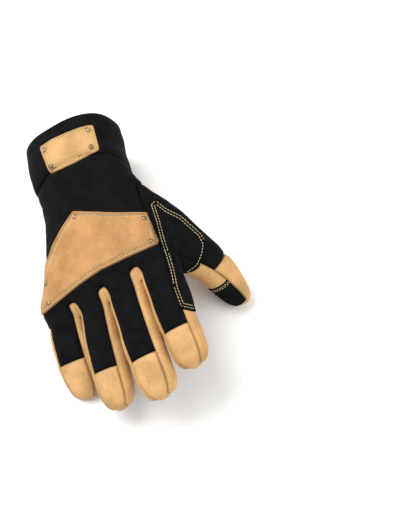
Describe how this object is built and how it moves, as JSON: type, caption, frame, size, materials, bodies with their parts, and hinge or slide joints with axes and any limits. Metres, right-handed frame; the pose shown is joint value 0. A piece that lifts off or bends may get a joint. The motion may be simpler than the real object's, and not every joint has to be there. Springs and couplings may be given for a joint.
{
  "type": "insulated leather glove",
  "caption": "Padded right-hand work glove with a black fabric back and cuff, tan leather palm, fingertip caps, riveted knuckle shield and cuff badge, grip patches and a pull loop.",
  "frame": {"origin": "bottom centre of the bounding box, on the surface the glove lies on", "axes": "fingers towards -Y, cuff mouth towards +Y, thumb towards +X, back of the hand up towards +Z and turned 30 degrees towards the little finger"},
  "size_m": [0.1784, 0.2754, 0.0848],
  "materials": {
    "black_fabric": "matt stretch fabric with a fine weave",
    "tan_leather": "matt grain leather",
    "pale_leather": "matt smooth leather",
    "mustard_label": "matt printed label, left bare",
    "black_grip": "matt coarse grip surface",
    "old_brass": "antique"
  },
  "bodies": {
    "root": {"back_panel": "black_fabric", "cuff": "black_fabric", "thumb_back": "black_fabric", "palm_panel": "tan_leather", "thumb_palm": "tan_leather", "thumb_cap": "tan_leather", "index_cap": "tan_leather", "middle_cap": "tan_leather", "ring_cap": "tan_leather", "little_cap": "tan_leather", "index_middle_fourchette": "tan_leather", "middle_ring_fourchette": "tan_leather", "ring_little_fourchette": "tan_leather", "knuckle_shield": "tan_leather", "cuff_badge": "pale_leather", "pull_loop": "tan_leather", "size_label": "mustard_label", "saddle_patch": "black_grip", "index_tip_patch": "black_grip", "middle_tip_patch": "black_grip", "ring_tip_patch": "black_grip", "little_tip_patch": "black_grip", "thumb_tip_patch": "black_grip", "shield_rivet_1": "old_brass", "shield_rivet_2": "old_brass", "shield_rivet_3": "old_brass", "shield_rivet_4": "old_brass", "shield_rivet_5": "old_brass", "badge_rivet_1": "old_brass", "badge_rivet_2": "old_brass", "badge_rivet_3": "old_brass", "badge_rivet_4": "old_brass"}
  },
  "joints": []
}
